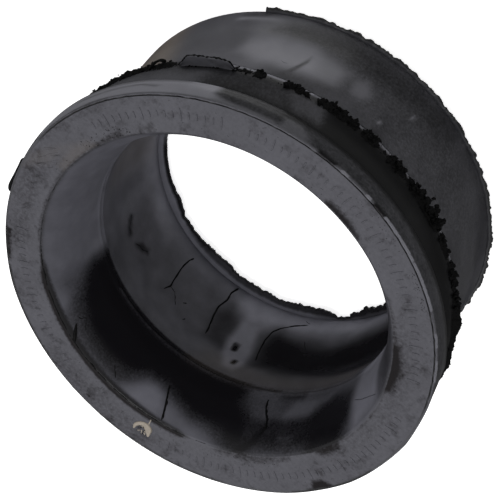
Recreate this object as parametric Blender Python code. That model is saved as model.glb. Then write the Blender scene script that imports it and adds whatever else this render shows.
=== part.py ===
"""Compression gasket for the hub of a 100 mm cast-iron drain pipe.

The gasket is one ring, moulded in black rubber. Its flange lies on the face of the hub, its barrel fills the
hub, and the pipe is pushed in through the flared mouth until the bore grips it. The mould's two halves and its
core left thin torn flash on the ridge under the flange and at both edges of the tail.

The ring stands on its tail with the flange up. The origin is the centre of the tail's end, and Z is the axis.
All sizes are in metres.
"""

import math
import random

import bpy
import bmesh

# The bore, from the flange down
LIP_RADIUS = 0.0485  # the tightest part, which grips the pipe
MOUTH_FLARE = 0.0074  # how much wider the mouth is than the lip
MOUTH_EDGE = 0.0006  # rounding where the bore meets the flat face
LEAD_IN_DEPTH = 0.0245  # from the face down to the lip
LIP_BEAD = 0.0004  # height of the bead that runs round the lip
CHAMBER_RELIEF = 0.0026  # how much wider the chamber under the lip is
TAIL_RELIEF = 0.0005  # how much wider than the lip the bore is at the tail
TAIL_BORE_EDGE = 0.0012  # rounding where the bore meets the tail's end

# The flange
FACE_WIDTH = 0.0121  # flat face, from the mouth to the outer edge
FLANGE_DEPTH = 0.0071
FLANGE_CROWN = 0.0007  # how far the flange's side bulges past the edge of its face
FLANGE_EDGE = 0.0004  # the small step at the face's outer edge

# The outside under the flange, set in from the edge of the flat face
NECK_INSET = 0.0058
NECK_FILLET = 0.0014
NECK_LENGTH = 0.0038
RIDGE_INSET = 0.0022
RIDGE_RAMP = 0.0098  # length of the slope from the neck up to the ridge
RIDGE_LAND = 0.0028
SHOULDER_DEPTH = 0.0030
BARREL_INSET = 0.0073
BARREL_LENGTH = 0.0357
WAIST_SCOOP = 0.0010  # how far the barrel is drawn in at its waist
TAIL_SWELL = 0.0010  # how far the barrel swells at its tail
TAIL_CROWN = 0.0038  # how far the end bulges past the barrel's corner
TAIL_CROWN_WIDTH = 0.0070  # how far in from the corner the end goes flat

# Torn flash
RIDGE_FLASH = 0.0011
TAIL_LIP_FLASH = 0.0008
BORE_FLASH = 0.0034
FLASH_THICKNESS = 0.0006

# Each flash is torn away between these angles about Z, in degrees
RIDGE_GAPS = ((284, 298),)
TAIL_LIP_GAPS = ((310, 358), (40, 75), (120, 150))
BORE_GAPS = ((14, 44), (128, 137), (205, 214), (290, 318))

SEGMENTS = 96
RUBBER_COLOUR = (0.030, 0.030, 0.034, 1.0)
RUBBER_ROUGHNESS = 0.5

MOUTH_RADIUS = LIP_RADIUS + MOUTH_FLARE
FACE_RADIUS = MOUTH_RADIUS + FACE_WIDTH
CHAMBER_RADIUS = LIP_RADIUS + CHAMBER_RELIEF
TAIL_BORE_RADIUS = LIP_RADIUS + TAIL_RELIEF
NECK_RADIUS = FACE_RADIUS - NECK_INSET
RIDGE_RADIUS = FACE_RADIUS - RIDGE_INSET
BARREL_RADIUS = FACE_RADIUS - BARREL_INSET

NECK_DEPTH = FLANGE_DEPTH + NECK_LENGTH
RIDGE_DEPTH = NECK_DEPTH + RIDGE_RAMP
BARREL_DEPTH = RIDGE_DEPTH + RIDGE_LAND + SHOULDER_DEPTH
TAIL_DEPTH = BARREL_DEPTH + BARREL_LENGTH
HEIGHT = TAIL_DEPTH + TAIL_CROWN


def clear_scene():
    for obj in list(bpy.data.objects):
        bpy.data.objects.remove(obj, do_unlink=True)


def ease(start, end, share):
    """A value between start and end that leaves and arrives level."""
    return start + (end - start) * (3 - 2 * share) * share**2


def round_corner(centre, radius, start, end, steps):
    """Points of a round corner, as (radius, depth), with its angles in degrees from outwards to down."""
    turns = [math.radians(start + (end - start) * i / steps) for i in range(steps + 1)]
    return [(centre[0] + radius * math.cos(a), centre[1] + radius * math.sin(a)) for a in turns]


def flange_points():
    """Face edge, crowned side and flat underside of the flange."""
    side = FACE_RADIUS + FLANGE_CROWN
    back_round = FLANGE_DEPTH / 8
    points = [(FACE_RADIUS - FLANGE_EDGE, 0), (FACE_RADIUS, FLANGE_EDGE)]
    points += [(FACE_RADIUS + 0.7 * FLANGE_CROWN, 0.3 * FLANGE_DEPTH), (side, 0.6 * FLANGE_DEPTH)]
    points += round_corner((side - back_round, FLANGE_DEPTH - back_round), back_round, 10, 90, 2)
    points += [(NECK_RADIUS + NECK_FILLET, FLANGE_DEPTH)]
    return points


def ridge_points():
    """Neck, ramp and land of the ridge that snaps in behind the hub's mouth."""
    return [
        (NECK_RADIUS + 0.3 * NECK_FILLET, FLANGE_DEPTH + 0.3 * NECK_FILLET),
        (NECK_RADIUS, FLANGE_DEPTH + NECK_FILLET),
        (NECK_RADIUS, NECK_DEPTH),
        (ease(NECK_RADIUS, RIDGE_RADIUS, 0.4), NECK_DEPTH + 0.4 * RIDGE_RAMP),
        (RIDGE_RADIUS, RIDGE_DEPTH),
    ]


def shoulder_points():
    """The step from the ridge's land down to the barrel."""
    land_end = RIDGE_DEPTH + RIDGE_LAND
    shares = (0.35, 0.7)
    points = [(RIDGE_RADIUS, land_end)]
    points += [(ease(RIDGE_RADIUS, BARREL_RADIUS, s), land_end + s * SHOULDER_DEPTH) for s in shares]
    return points


def barrel_points():
    """Barrel, drawn in at its waist and swelling towards the tail."""
    shares = (0, 0.17, 0.36, 0.6, 0.82)
    return [
        (BARREL_RADIUS - waist(share) + swell(share), BARREL_DEPTH + share * BARREL_LENGTH)
        for share in shares
    ]


def waist(share):
    return WAIST_SCOOP * math.sin(math.pi * min(1.0, share / 0.7))


def swell(share):
    return ease(0, TAIL_SWELL, max(0.0, share - 0.4) / 0.6)


def tail_points():
    """The tail's end, which bulges from the barrel's corner to the flat that the ring stands on."""
    corner = BARREL_RADIUS + TAIL_SWELL
    return [
        (corner - TAIL_CROWN_WIDTH * share, TAIL_DEPTH + TAIL_CROWN * math.sin(math.pi / 2 * share))
        for share in (0.3, 0.6, 1)
    ]


def tail_bore_edge_points():
    """The small rounding from the tail's end into the bore."""
    centre = (TAIL_BORE_RADIUS + TAIL_BORE_EDGE, HEIGHT - TAIL_BORE_EDGE)
    return round_corner(centre, TAIL_BORE_EDGE, 90, 130, 1)


def chamber_points():
    """The chamber between the tail's edge and the lip."""
    floor = HEIGHT - 3 * TAIL_BORE_EDGE
    length = floor - LEAD_IN_DEPTH
    points = [(TAIL_BORE_RADIUS, floor)]
    widest = 0.55
    for share in (0.4, 0.7, 1):
        points.append((ease(TAIL_BORE_RADIUS, CHAMBER_RADIUS, share), floor - widest * length * share))
    for share in (0.5, 0.9):
        points.append((ease(CHAMBER_RADIUS, LIP_RADIUS, share), floor - length * (widest + (1 - widest) * share)))
    return points


def lead_in_points():
    """The bead on the lip and the flared way in from the mouth."""
    points = [(LIP_RADIUS - LIP_BEAD, LEAD_IN_DEPTH)]
    for share in (0.15, 0.4, 0.65, 0.85):
        flare = MOUTH_FLARE * (0.35 * share + 0.65 * share**3)
        points.append((LIP_RADIUS + flare, LEAD_IN_DEPTH * (1 - share)))
    points += [(MOUTH_RADIUS, MOUTH_EDGE), (MOUTH_RADIUS + MOUTH_EDGE, 0)]
    return points


def flash_points(radius, depth, side):
    """Root, tip and root of a flash on the radius given; side is 1 outwards and -1 inwards."""
    half = FLASH_THICKNESS / 2
    return [(radius, depth - side * half, 0), (radius, depth - side * half / 2, side),
            (radius, depth + side * half / 2, side), (radius, depth + side * half, 0)]


def torn_edge(reach, gaps, seed):
    """How far a flash reaches at each segment, ragged and nearly nothing where it is torn away."""
    tear = random.Random(seed)
    reaches = []
    for segment in range(SEGMENTS):
        angle = 360 * segment / SEGMENTS
        left = 0.15 if any(low <= angle <= high for low, high in gaps) else 1.0
        reaches.append(reach * left * tear.uniform(0.55, 1.3))
    return reaches


def section():
    """The ring's outline, once round: radius, depth, side of a flash's tip or 0, and that flash's torn edge."""
    def plain(points):
        return [(radius, depth, 0, None) for radius, depth in points]

    def torn(radius, depth, side, edge):
        return [(r, d, s, edge) for r, d, s in flash_points(radius, depth, side)]

    ridge_edge = torn_edge(RIDGE_FLASH, RIDGE_GAPS, 11)
    lip_edge = torn_edge(TAIL_LIP_FLASH, TAIL_LIP_GAPS, 12)
    bore_edge = torn_edge(BORE_FLASH, BORE_GAPS, 13)
    outline = plain(flange_points() + ridge_points())
    outline += torn(RIDGE_RADIUS, RIDGE_DEPTH + RIDGE_LAND / 2, 1, ridge_edge)
    outline += plain(shoulder_points() + barrel_points())
    outline += torn(BARREL_RADIUS + TAIL_SWELL, TAIL_DEPTH, 1, lip_edge)
    outline += plain(tail_points() + tail_bore_edge_points())
    outline += torn(TAIL_BORE_RADIUS, HEIGHT - 2 * TAIL_BORE_EDGE, -1, bore_edge)
    outline += plain(chamber_points() + lead_in_points())
    return outline


def build_ring(outline):
    """Turns the outline about Z, reaching out at each torn flash, into one closed mesh."""
    bm = bmesh.new()
    rings = []
    for segment in range(SEGMENTS):
        angle = 2 * math.pi * segment / SEGMENTS
        ring = []
        for radius, depth, side, edge in outline:
            reach = side * edge[segment] if edge else 0
            r = radius + reach
            ring.append(bm.verts.new((r * math.cos(angle), r * math.sin(angle), HEIGHT - depth)))
        rings.append(ring)
    count = len(outline)
    for segment in range(SEGMENTS):
        here, there = rings[segment], rings[(segment + 1) % SEGMENTS]
        for i in range(count):
            j = (i + 1) % count
            bm.faces.new((here[i], here[j], there[j], there[i]))
    bmesh.ops.recalc_face_normals(bm, faces=bm.faces)
    mesh = bpy.data.meshes.new("gasket")
    bm.to_mesh(mesh)
    bm.free()
    return mesh


def black_rubber():
    material = bpy.data.materials.new("moulded_black_rubber")
    material.use_nodes = True
    shader = material.node_tree.nodes["Principled BSDF"]
    shader.inputs["Base Color"].default_value = RUBBER_COLOUR
    shader.inputs["Roughness"].default_value = RUBBER_ROUGHNESS
    shader.inputs["Metallic"].default_value = 0.0
    return material


def make_gasket():
    mesh = build_ring(section())
    mesh.materials.append(black_rubber())
    mesh.shade_smooth()
    mesh.set_sharp_from_angle(angle=math.radians(35))
    gasket = bpy.data.objects.new("gasket", mesh)
    bpy.context.scene.collection.objects.link(gasket)
    return gasket


clear_scene()
make_gasket()
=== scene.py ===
import math
import random

import bpy
import numpy as np
from mathutils import Matrix, Vector, noise


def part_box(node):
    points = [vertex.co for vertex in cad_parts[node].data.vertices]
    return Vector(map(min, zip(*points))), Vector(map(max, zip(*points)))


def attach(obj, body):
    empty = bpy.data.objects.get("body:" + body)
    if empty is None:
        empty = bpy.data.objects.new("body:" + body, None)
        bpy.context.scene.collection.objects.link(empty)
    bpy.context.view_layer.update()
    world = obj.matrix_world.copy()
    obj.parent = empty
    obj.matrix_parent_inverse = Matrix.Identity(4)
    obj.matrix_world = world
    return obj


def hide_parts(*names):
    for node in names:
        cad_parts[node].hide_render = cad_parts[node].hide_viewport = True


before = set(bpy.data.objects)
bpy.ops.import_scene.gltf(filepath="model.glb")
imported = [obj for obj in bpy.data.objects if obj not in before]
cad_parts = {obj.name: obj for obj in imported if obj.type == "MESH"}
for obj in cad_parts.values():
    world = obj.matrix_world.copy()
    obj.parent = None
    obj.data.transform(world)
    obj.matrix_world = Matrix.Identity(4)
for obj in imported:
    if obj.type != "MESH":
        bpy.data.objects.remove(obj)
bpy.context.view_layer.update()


# Camera. It stands in front of the ring and 47 degrees up, rolled over as the photograph was taken, with a
# long lens. Its place and turn come from circles fitted to the flange, the mouth and the tail.
CAMERA_PLACE = (0.0, -0.3979, 0.4662)
CAMERA_TILT = 42.912
CAMERA_TURN = -0.109
CAMERA_ROLL = -142.243
CAMERA_LENS = 141.85
CAMERA_SENSOR = 36
camera_data = bpy.data.cameras.new("camera")
camera_data.lens = CAMERA_LENS
camera_data.sensor_width = CAMERA_SENSOR
camera = bpy.data.objects.new("camera", camera_data)
camera.matrix_world = (
    Matrix.Translation(CAMERA_PLACE)
    @ Matrix.Rotation(math.radians(CAMERA_TURN), 4, "Z")
    @ Matrix.Rotation(math.radians(CAMERA_TILT), 4, "X")
    @ Matrix.Rotation(math.radians(CAMERA_ROLL), 4, "Z")
)
bpy.context.scene.collection.objects.link(camera)
bpy.context.scene.camera = camera
bpy.context.scene.view_settings.view_transform = "Standard"


# Floor. A light table topped with white paper. It glows enough to stay white round the black ring and
# inside it, and the lamp below shines through it. The rubber doesn't mirror it, as in the
# photograph.
FLOOR_SIZE = 6.0
FLOOR_DROP = 0.0001
PAPER_COLOUR = "#f4f4f4"
PAPER_GLOW = 0.9


def linear(hex_colour):
    """An sRGB hex colour as the linear numbers that a shader takes."""
    channels = [int(hex_colour[i:i + 2], 16) / 255 for i in (1, 3, 5)]
    return tuple(c / 12.92 if c <= 0.04045 else ((c + 0.055) / 1.055) ** 2.4 for c in channels) + (1.0,)


def set_inputs(node, inputs):
    """Gives a node its values and its links, each input by name or number."""
    for socket, value in inputs.items():
        if isinstance(value, bpy.types.NodeSocket):
            node.id_data.links.new(value, node.inputs[socket])
        else:
            node.inputs[socket].default_value = value


def add_node(tree, kind, settings=None, inputs=None):
    """A node with its settings, its values and its links."""
    node = tree.nodes.new(kind)
    for name, value in (settings or {}).items():
        setattr(node, name, value)
    set_inputs(node, inputs or {})
    return node


def new_material(name, inputs):
    """A new material, its node tree and its shader, with the values given set on the shader."""
    material = bpy.data.materials.new(name)
    material.use_nodes = True
    shader = material.node_tree.nodes["Principled BSDF"]
    set_inputs(shader, inputs)
    return material, material.node_tree, shader


bpy.ops.object.select_all(action="DESELECT")
bpy.ops.mesh.primitive_plane_add(size=FLOOR_SIZE, location=(0, 0, -FLOOR_DROP))
floor = bpy.context.object
floor.name = "floor"
paper = new_material("white_paper", {
    "Base Color": linear(PAPER_COLOUR), "Roughness": 1.0, "Specular IOR Level": 0.0,
    "Emission Color": linear(PAPER_COLOUR), "Emission Strength": PAPER_GLOW,
})[0]
floor.data.materials.append(paper)
floor.visible_glossy = False
floor.visible_shadow = False


# Light. A white tent overhead, a dark room below the table's edge, and a soft lamp low on the right, which
# gives a weak highlight on the barrel; most of that highlight is painted on. A black card under the paper
# keeps that lamp out of the bore.
TENT_BRIGHTNESS = 0.62
ROOM_BRIGHTNESS = 0.1
TENT_EDGE = (-0.1, 0.45)  # height on the sky's dome where the tent starts and where it is full
LAMP_PLACE = (0.140, -0.170, -0.140)
LAMP_TARGET = (0.020, -0.055, 0.020)
LAMP_SIZE = (0.19, 0.03)
LAMP_WATTS = 0.03
OVERHEAD_PLACE = (0, 0, 1.6)
OVERHEAD_SIZE = (0.8, 0.8)
OVERHEAD_WATTS = 9
CARD_RADIUS = 0.082
CARD_SIDES = 64
CARD_DEPTH = 0.015
CARD_COLOUR = "#050505"

world = bpy.data.worlds.new("studio")
bpy.context.scene.world = world
world.use_nodes = True
sky = world.node_tree
towards = add_node(sky, "ShaderNodeTexCoord").outputs["Generated"]
height = add_node(sky, "ShaderNodeSeparateXYZ", None, {0: towards}).outputs["Z"]
tent = add_node(sky, "ShaderNodeMapRange", {"interpolation_type": "SMOOTHSTEP"}, {
    0: height, 1: TENT_EDGE[0], 2: TENT_EDGE[1], 3: ROOM_BRIGHTNESS, 4: TENT_BRIGHTNESS}).outputs[0]
set_inputs(sky.nodes["Background"], {"Color": tent})


def area_light(name, shape, size, watts, place, target):
    """A soft lamp with a flat glowing face, turned to its target."""
    data = bpy.data.lights.new(name, "AREA")
    data.shape = shape
    data.size, data.size_y = size
    data.energy = watts
    light = bpy.data.objects.new(name, data)
    light.location = place
    light.rotation_euler = (Vector(target) - Vector(place)).to_track_quat("-Z", "Y").to_euler()
    bpy.context.scene.collection.objects.link(light)


area_light("overhead", "DISK", OVERHEAD_SIZE, OVERHEAD_WATTS, OVERHEAD_PLACE, (0, 0, 0))
area_light("low_lamp", "RECTANGLE", LAMP_SIZE, LAMP_WATTS, LAMP_PLACE, LAMP_TARGET)

bpy.ops.mesh.primitive_circle_add(vertices=CARD_SIDES, radius=CARD_RADIUS, fill_type="NGON",
                                  location=(0, 0, -CARD_DEPTH))
card = bpy.context.object
card.name = "black_card"
velvet = new_material("black_velvet_card", {
    "Base Color": linear(CARD_COLOUR), "Roughness": 1.0, "Specular IOR Level": 0.0,
})[0]
card.data.materials.append(velvet)


# Gasket ring. One moulding of black rubber, pressed in a steel mould of two halves and a core: the halves
# shape the flange, neck, snap ridge and barrel, and the core shapes the flared mouth, the lip and the
# chamber.
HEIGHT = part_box("gasket")[1].z
RING_STEPS = 560
MOUTH_RADIUS = 0.0559
MOUTH_EDGE = 0.0006
MOUTH_CORNER = ((-0.0001, 0.0004), (0.0001, 0.0001))  # out from the mouth's radius, and depth
FACE_RADIUS = 0.068
FACE_EDGE = 0.0004
FACE_CORNER = ((-0.0002, 0.00003), (-0.00006, 0.00015), (0, FACE_EDGE))  # out from its radius, and depth
GROOVE_INSET = 0.0006
GROOVE_DEPTH = 0.00045
GROOVE_SIDES = (-0.0002, -0.00008, 0.00014, 0.00026)  # its edge, floor, floor and edge, out from its middle
FLANGE_DEPTH = 0.0071
FLANGE_SIDE = 0.0058
FLANGE_CROWN = 0.0007
FLANGE_CROWN_TURN = math.pi * 0.75  # how far the crown's arch has turned at the back of the side
BACK_ROUND = 0.00089
NECK_RADIUS = 0.0622
NECK_FILLET = 0.0014
NECK_DEPTH = 0.0109
RIDGE_RADIUS = 0.0658
RIDGE_DEPTH = 0.0207
RIDGE_LAND = 0.0028
RIDGE_CROWN = 0.0001
SHOULDER_DEPTH = 0.003
BARREL_RADIUS = 0.0607
BARREL_DEPTH = 0.0265
BARREL_LENGTH = 0.0357
WAIST_SCOOP = 0.001
WAIST_END = 0.7  # the share of the barrel's length that the waist takes
TAIL_SWELL = 0.001
TAIL_SWELL_START = 0.4  # the share of the barrel's length where it begins to swell
TAIL_CROWN = 0.0038
TAIL_CROWN_WIDTH = 0.007
TAIL_BORE_RADIUS = 0.049
TAIL_BORE_EDGE = 0.0012
TAIL_BORE_STRAIGHT = 3 * TAIL_BORE_EDGE
CHAMBER_RADIUS = 0.0511
LIP_RADIUS = 0.0485
LIP_DEPTH = 0.0251
LIP_LENGTH = 0.003
LIP_ROOT = 0.0002
LIP_BEADS = (
    (-0.0002, 0.0003), (-0.0002, 0.0005), (0, 0.0008), (0.0001, 0.0011), (0.0001, 0.0019), (-0.0002, 0.0023),
    (-0.0002, 0.0027), (0, LIP_LENGTH),
)  # out from the lip's radius, and up from its lower edge
CHAMBER_WIDEST = 0.55  # the share of the chamber's length from the tail
FLARE_STRAIGHT = 0.35  # the share of the flare that is a straight cone; the rest is curved


def ease(start, end, share):
    """A value between start and end that leaves and arrives level."""
    return start + (end - start) * (3 - 2 * share) * share**2


def arc(centre, radius, start, end, steps):
    """Points of a round corner, with its angles in degrees from outwards to down."""
    turns = [math.radians(start + (end - start) * i / steps) for i in range(steps + 1)]
    return [(centre[0] + radius * math.cos(a), centre[1] + radius * math.sin(a)) for a in turns]


def flange_section():
    """Flat face from the mouth outwards, the groove by its edge, the crowned side and the rounded back."""
    sides = [FACE_RADIUS - GROOVE_INSET + side for side in GROOVE_SIDES]
    inner_edge, inner_floor, outer_floor, outer_edge = sides
    points = [(radius, 0) for radius in np.linspace(MOUTH_RADIUS + MOUTH_EDGE, inner_edge, 20)]
    points += [(inner_floor, GROOVE_DEPTH), (outer_floor, GROOVE_DEPTH), (outer_edge, 0)]
    points += [(FACE_RADIUS + out, depth) for out, depth in FACE_CORNER]
    for share in np.linspace(0.1, 0.9, 9):
        side = FACE_RADIUS + FLANGE_CROWN * math.sin(FLANGE_CROWN_TURN * share)
        points.append((side, FACE_EDGE + FLANGE_SIDE * share))
    back = (FACE_RADIUS + FLANGE_CROWN - BACK_ROUND, FLANGE_DEPTH - BACK_ROUND)
    points += arc(back, BACK_ROUND, 10, 90, 4)
    points += [(NECK_RADIUS + 2 * NECK_FILLET, FLANGE_DEPTH)]
    return points


def neck_section():
    """The fillet under the flange, the neck, and the ramp up to the ridge."""
    fillet = (NECK_RADIUS + NECK_FILLET, FLANGE_DEPTH + NECK_FILLET)
    points = arc(fillet, NECK_FILLET, 270, 180, 4)
    ramp = RIDGE_DEPTH - NECK_DEPTH
    for share in np.linspace(0, 1, 10):
        points.append((ease(NECK_RADIUS, RIDGE_RADIUS, share), NECK_DEPTH + ramp * share))
    return points


def ridge_section():
    """The ridge's land, slightly crowned, and the shoulder down to the barrel."""
    points = []
    for share in (0.25, 0.5, 0.75, 1.0):
        radius = RIDGE_RADIUS + RIDGE_CROWN * math.sin(math.pi * share)
        points.append((radius, RIDGE_DEPTH + RIDGE_LAND * share))
    shoulder = RIDGE_DEPTH + RIDGE_LAND
    for share in np.linspace(0.15, 0.9, 6):
        points.append((ease(RIDGE_RADIUS, BARREL_RADIUS, share), shoulder + SHOULDER_DEPTH * share))
    return points


def barrel_section():
    """The barrel, drawn in at its waist and swelling to the tail, and the tail's crowned end."""
    points = []
    for share in np.linspace(0, 1, 20):
        waist = WAIST_SCOOP * math.sin(math.pi * min(1.0, share / WAIST_END))
        swell = ease(0, TAIL_SWELL, max(0.0, share - TAIL_SWELL_START) / (1 - TAIL_SWELL_START))
        points.append((BARREL_RADIUS - waist + swell, BARREL_DEPTH + BARREL_LENGTH * share))
    corner, corner_depth = points[-1]
    for share in (0.04, 0.2, 0.5, 1.0):
        bulge = TAIL_CROWN * math.sin(math.pi / 2 * share)
        points.append((corner - TAIL_CROWN_WIDTH * share, corner_depth + bulge))
    return points


def bore_section():
    """From the tail's edge up the chamber, over the lip's double bead and out along the flared mouth."""
    edge = (TAIL_BORE_RADIUS + TAIL_BORE_EDGE, HEIGHT - TAIL_BORE_EDGE)
    points = arc(edge, TAIL_BORE_EDGE, 90, 170, 3)
    tail = HEIGHT - TAIL_BORE_STRAIGHT
    length = tail - LIP_DEPTH
    for share in np.linspace(0, 1, 28):
        if share < CHAMBER_WIDEST:
            radius = ease(TAIL_BORE_RADIUS, CHAMBER_RADIUS, share / CHAMBER_WIDEST)
        else:
            to_lip = (share - CHAMBER_WIDEST) / (1 - CHAMBER_WIDEST)
            radius = ease(CHAMBER_RADIUS, LIP_RADIUS + LIP_ROOT, to_lip)
        points.append((radius, tail - length * share))
    points += [(LIP_RADIUS + out, LIP_DEPTH - up) for out, up in LIP_BEADS]
    start = LIP_DEPTH - LIP_LENGTH
    for share in (*np.linspace(0.05, 0.84, 13), *np.linspace(0.87, 0.98, 7)):
        flare = (MOUTH_RADIUS - LIP_RADIUS) * (FLARE_STRAIGHT * share + (1 - FLARE_STRAIGHT) * share**3)
        points.append((LIP_RADIUS + flare, start * (1 - share)))
    points += [(MOUTH_RADIUS + out, depth) for out, depth in MOUTH_CORNER]
    return points


def turned(name, section, steps):
    """A ring turned from its section, which is a list of (radius, depth below the flange's face)."""
    bpy.ops.object.select_all(action="DESELECT")
    bpy.ops.mesh.primitive_circle_add(vertices=len(section), radius=FACE_RADIUS, location=(0, 0, 0))
    piece = bpy.context.object
    piece.name = name
    piece.data.name = name
    for vertex, (radius, depth) in zip(piece.data.vertices, section):
        vertex.co = (radius, 0, HEIGHT - depth)
    bpy.ops.object.modifier_add(type="SCREW")
    screw = piece.modifiers[-1]
    screw.angle = 2 * math.pi
    screw.steps = steps
    screw.render_steps = steps
    screw.use_merge_vertices = True
    screw.merge_threshold = 0.00001
    bpy.ops.object.modifier_apply(modifier=screw.name)
    bpy.ops.object.mode_set(mode="EDIT")
    bpy.ops.mesh.select_all(action="SELECT")
    bpy.ops.mesh.normals_make_consistent(inside=False)
    bpy.ops.object.mode_set(mode="OBJECT")
    return piece


def part_of_gasket(piece):
    """Every piece here belongs to the one rubber moulding."""
    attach(piece, "root")


bore = bore_section()
ring_section = flange_section() + neck_section() + ridge_section() + barrel_section() + bore
ring = turned("gasket_ring", ring_section, RING_STEPS)
bpy.ops.object.shade_smooth_by_angle(angle=math.radians(50))
part_of_gasket(ring)
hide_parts("gasket")

# Where each vertex of the ring lies: its angle about the axis in degrees, its depth and its radius in mm.
# The face is what is less deep than FACE_REACH, and the bore is what is nearer the axis than BORE_REACH.
FACE_REACH = 0.5
BORE_REACH = 56.3
TAIL_END_DEPTH = 62.4
TAIL_END_INNER = 50.3
places = np.zeros(len(ring.data.vertices) * 3)
ring.data.vertices.foreach_get("co", places)
places = places.reshape(-1, 3)
angles = np.degrees(np.arctan2(places[:, 1], places[:, 0])) % 360
depths = (HEIGHT - places[:, 2]) * 1000
radii = np.hypot(places[:, 0], places[:, 1]) * 1000
on_tail_end = (depths > TAIL_END_DEPTH) & (radii > TAIL_END_INNER)
in_bore = (radii < BORE_REACH) & ~on_tail_end
on_face = (depths < FACE_REACH) & ~in_bore
outside = ~in_bore & ~on_face

# The soft ring has sagged a little out of round: how far its outer edge and its mouth stand out, in mm at
# an angle. The mouth's sag fades out down the bore, and the flange's side is worn at its rear low on the
# right.
EDGE_SAG = (
    (0, 0.1), (20, -0.05), (30, -0.05), (40, 0.3), (60, 0.25), (80, 0.4), (90, 0.6), (110, 0.9), (125, 1.0),
    (140, 1.0), (150, 0.7), (160, 0.7), (170, 0.35), (185, 0.25), (200, 0.35), (240, 0.5), (330, 0.5),
    (350, 0.25), (360, 0.1),
)
MOUTH_SAG = (
    (0, 0.3), (10, 0.25), (20, 0.2), (35, 0.0), (50, -0.3), (70, -0.5), (90, -0.6), (110, -0.8),
    (130, -0.9), (200, -0.9), (215, -0.5), (228, 0.0), (240, 0.3), (360, 0.3),
)
MOUTH_SAG_DEPTH = 22
MOUTH_SAG_FADE = 1.5
SIDE_WORN = ((0, 0), (180, 0), (188, -1.5), (198, -1.7), (206, 0), (360, 0))
FACE_INNER, FACE_OUTER = (MOUTH_RADIUS + MOUTH_EDGE) * 1000, FACE_RADIUS * 1000
NECK_SIDE = (NECK_RADIUS + NECK_FILLET) * 1000
FLANGE_BACK = FLANGE_DEPTH * 1000


def mouth_sag_at(angle, depth):
    """How far the bore's wall has sagged outwards at an angle and a depth, in mm."""
    fade = np.clip(1 - depth / MOUTH_SAG_DEPTH, 0, 1) ** MOUTH_SAG_FADE
    return np.interp(angle, *zip(*MOUTH_SAG)) * fade


edge_sag = np.interp(angles, *zip(*EDGE_SAG))
mouth_sag = np.interp(angles, *zip(*MOUTH_SAG))
across_face = np.clip((radii - FACE_INNER) / (FACE_OUTER - FACE_INNER), 0, 1)
across_back = np.clip((radii - NECK_SIDE) / (FACE_OUTER - NECK_SIDE), 0, 1)
sag = np.where(on_face, mouth_sag + (edge_sag - mouth_sag) * across_face, 0.0)
side_sag = edge_sag + np.interp(angles, *zip(*SIDE_WORN)) * depths / FLANGE_BACK
sag = np.where(outside & (depths < FLANGE_BACK + 0.1), side_sag * across_back, sag)
sag = np.where(in_bore, mouth_sag_at(angles, depths), sag)
places[:, :2] *= (1 + sag / radii)[:, None]
ring.data.vertices.foreach_set("co", places.ravel())

# Bloom is the grey film of wax and sulphur that works its way out of rubber. Each patch below is a touch of
# it, or of brown dust, laid over the ones before: how much, how soft its edge is in mm, and its outline by
# angle in degrees and by depth in mm, or by radius on the face. Some patches hold painted light as well:
# painted highlights, reflections and shadows, each marked where it stands. An even film lies under the
# patches.
BORE_FILM = 0.59
SIDE_FILM = 0.06
FACE_FILM = 0.64
LIP_LINE = 25  # the depth in mm where the mouth ends and the chamber begins
BORE_DEGREE, SIDE_DEGREE, FACE_DEGREE = 0.87, 1.06, 1.08  # how long one degree is on each surface, in mm
# Painted reflections are laid here with the bloom: the black patches stand in for the dark near wall mirrored
# in the bare gloss, and the palest ones for highlights.
LEAD_IN_BLOOM_AND_REFLECTIONS = (
    (0.82, 5.0, ((-40, -2), (40, -2), (42, 12), (46, 27), (-40, 27))),
    (0.8, 3.0, ((38, -2), (128, -2), (112, 5.5), (100, 8), (90, 10.5), (80, 6.5), (66, 5), (50, 9))),
    (0.94, 2.0, ((86, 1), (97, 1), (96, 8), (92, 9), (87, 6))),
    (0.52, 2.0, ((54, 1.5), (82, 1.5), (85, 6), (64, 4.5), (56, 7), (46, 10), (44, 8))),
    (0.0, 4.5, ((44, 30), (42, 17), (45, 12.5), (52, 8.0), (60, 5.2), (66, 4.2), (74, 4.0), (80, 5.0),
                (84, 7.2), (88, 10.2), (94, 11.0), (99, 9.0), (104, 7), (110, 5.6), (116, 4.8), (120, 3),
                (124, 1), (129, 1), (130, 8), (126, 12), (122, 17), (120, 30))),
    (0.2, 2.5, ((128, 1.5), (156, 2), (158, 9), (150, 11.5), (136, 12), (127, 9))),
    (0.56, 4.0, ((127, 15), (134, 12.5), (150, 13), (156, 20), (158, 27), (126, 27))),
    (0.72, 1.8, ((140, 13), (150, 12.5), (153, 19), (143, 19))),
    (0.36, 1.2, ((135, 20), (145, 20), (145, 22.6), (135, 22.6))),
    (0.34, 1.0, ((140, 4.2), (146, 3.6), (147, 5.6), (141, 6))),
    (0.05, 3.6, ((153, -1), (166, -1.5), (172, 7), (170, 15), (161, 18), (152, 12))),
    (1.0, 3.0, ((174, 0.5), (190, 1), (192, 12), (188, 27), (171, 27), (173, 12))),
    (0.42, 4.0, ((196, 27), (200, 8), (196, 1), (260, 0), (260, 27))),
    # Painted shade and highlight: a dark line in the lip's groove and paler lines on its beads.
    (0.15, 0.5, ((46, 23.3), (132, 23.3), (134, 24.2), (46, 24.2))),
    (0.36, 0.6, ((58, 22.1), (126, 22.2), (126, 22.9), (58, 22.8))),
    (0.48, 0.3, ((45, 24.5), (150, 24.5), (150, 27), (45, 27))),
    (0.4, 0.5, ((-40, -1), (30, -1), (30, 0.6), (-40, 0.5))),
    (0.02, 0.7, ((22, -1), (116, -1), (106, 0.7), (90, 1.2), (62, 1.5), (44, 1.4), (34, 0.9))),
    (0.06, 0.6, ((133.6, 9), (135.4, 9), (133.2, 3.6), (129, 0.4), (125.5, 0.4), (131, 4.4))),
)
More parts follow.
